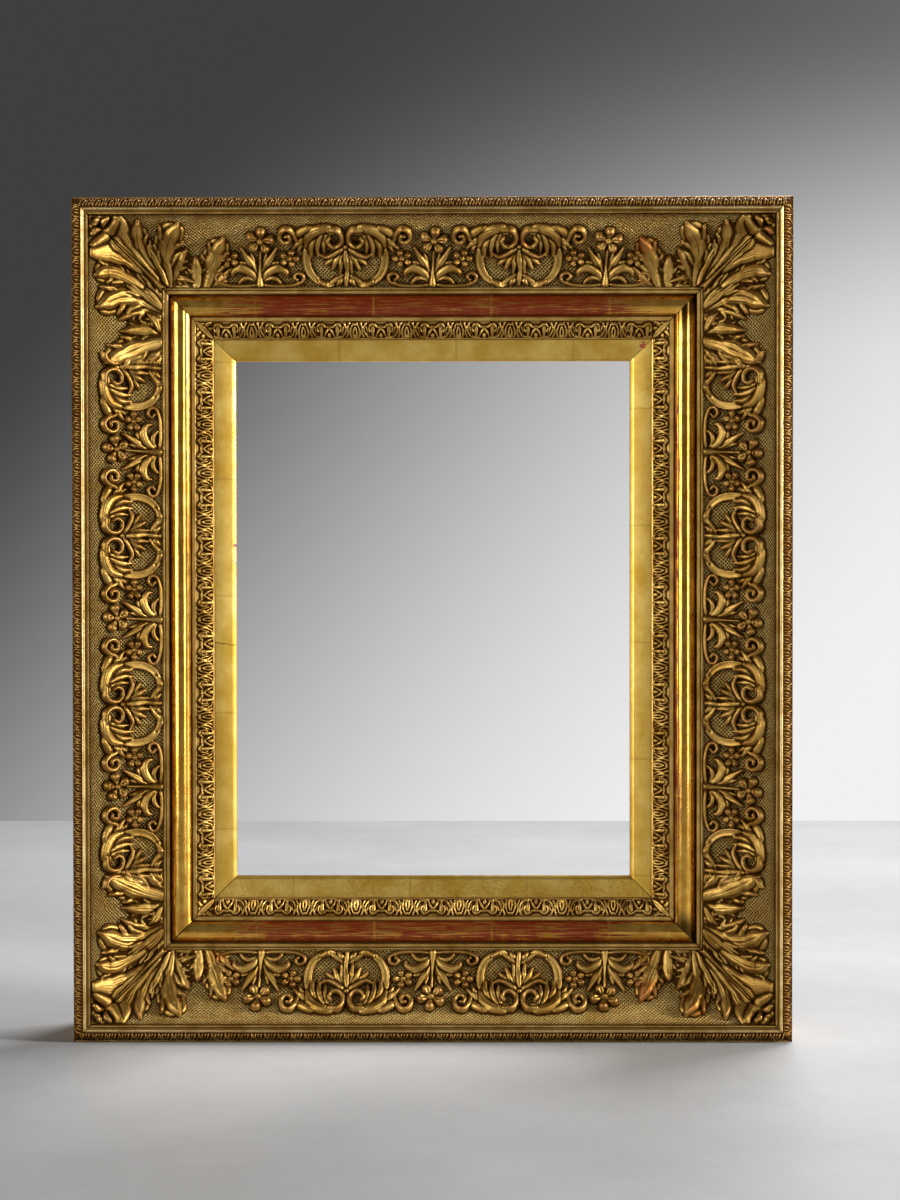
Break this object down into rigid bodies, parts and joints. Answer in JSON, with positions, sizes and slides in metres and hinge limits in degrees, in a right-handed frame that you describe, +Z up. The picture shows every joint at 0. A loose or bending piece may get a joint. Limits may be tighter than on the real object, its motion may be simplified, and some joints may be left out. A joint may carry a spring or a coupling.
{
  "type": "ornate picture frame",
  "caption": "Rectangular gilded picture frame with a coved, leaf-ornamented moulding, a burnished inner band, a rear rebate, turn-buttons and a hanging ring.",
  "frame": {"origin": "middle of the bounding box's underside: the frame stands on its lower edge", "axes": "+X to the right as seen from the front, -Y towards the viewer, +Z up"},
  "size_m": [0.4628, 0.073, 0.5428],
  "materials": {
    "pine": "raw, aged",
    "gilded_moulding": "gesso, red bole and water-gilt leaf, burnished on the band",
    "gilded_slip": "matt gilt",
    "gilded_strip": "toned gilt",
    "gilded_composition": "oil-gilt pressed composition, rubbed on the high places",
    "brass": "aged, dull",
    "steel": "dull"
  },
  "bodies": {
    "frame": {"rail_top": "pine", "rail_right": "pine", "rail_bottom": "pine", "rail_left": "pine", "corner_keys": "pine", "moulding_top": "gilded_moulding", "moulding_right": "gilded_moulding", "moulding_bottom": "gilded_moulding", "moulding_left": "gilded_moulding", "sight_slip_top": "gilded_slip", "sight_slip_right": "gilded_slip", "sight_slip_bottom": "gilded_slip", "sight_slip_left": "gilded_slip", "inner_leaf_strip_top": "gilded_strip", "inner_leaf_strip_right": "gilded_strip", "inner_leaf_strip_bottom": "gilded_strip", "inner_leaf_strip_left": "gilded_strip", "outer_leaf_strip_top": "gilded_strip", "outer_leaf_strip_right": "gilded_strip", "outer_leaf_strip_bottom": "gilded_strip", "outer_leaf_strip_left": "gilded_strip", "corner_leaf_top_left": "gilded_composition", "corner_leaf_top_right": "gilded_composition", "corner_leaf_bottom_left": "gilded_composition", "corner_leaf_bottom_right": "gilded_composition", "cartouche_top_1": "gilded_composition", "cartouche_top_2": "gilded_composition", "cartouche_right_1": "gilded_composition", "cartouche_right_2": "gilded_composition", "cartouche_right_3": "gilded_composition", "cartouche_right_4": "gilded_composition", "cartouche_bottom_1": "gilded_composition", "cartouche_bottom_2": "gilded_composition", "cartouche_left_1": "gilded_composition", "cartouche_left_2": "gilded_composition", "cartouche_left_3": "gilded_composition", "cartouche_left_4": "gilded_composition", "flower_spray_top_1": "gilded_composition", "flower_spray_top_2": "gilded_composition", "flower_spray_top_3": "gilded_composition", "flower_spray_right_1": "gilded_composition", "flower_spray_right_2": "gilded_composition", "flower_spray_right_3": "gilded_composition", "flower_spray_bottom_1": "gilded_composition", "flower_spray_bottom_2": "gilded_composition", "flower_spray_bottom_3": "gilded_composition", "flower_spray_left_1": "gilded_composition", "flower_spray_left_2": "gilded_composition", "flower_spray_left_3": "gilded_composition", "hanger_plate": "brass", "screws": "steel"},
    "hanger_ring": {"hanger_ring": "brass"},
    "turn_button_top": {"turn_button_top": "brass"},
    "turn_button_right": {"turn_button_right": "brass"},
    "turn_button_bottom": {"turn_button_bottom": "brass"},
    "turn_button_left": {"turn_button_left": "brass"}
  },
  "joints": [
    {"name": "ring_hinge", "type": "hinge", "parent": "frame", "child": "hanger_ring", "pos_m": [0, 0.0341, 0.5034], "axis": [1, 0, 0], "range_deg": [0, 180]},
    {"name": "button_pivot_top", "type": "hinge", "parent": "frame", "child": "turn_button_top", "pos_m": [0, 0.0327, 0.4574], "axis": [0, 1, 0], "range_deg": [0, 90]},
    {"name": "button_pivot_right", "type": "hinge", "parent": "frame", "child": "turn_button_right", "pos_m": [0.146, 0.0327, 0.2714], "axis": [0, 1, 0], "range_deg": [0, 90]},
    {"name": "button_pivot_bottom", "type": "hinge", "parent": "frame", "child": "turn_button_bottom", "pos_m": [0, 0.0327, 0.0854], "axis": [0, 1, 0], "range_deg": [0, 90]},
    {"name": "button_pivot_left", "type": "hinge", "parent": "frame", "child": "turn_button_left", "pos_m": [-0.146, 0.0327, 0.2714], "axis": [0, 1, 0], "range_deg": [0, 90]}
  ]
}
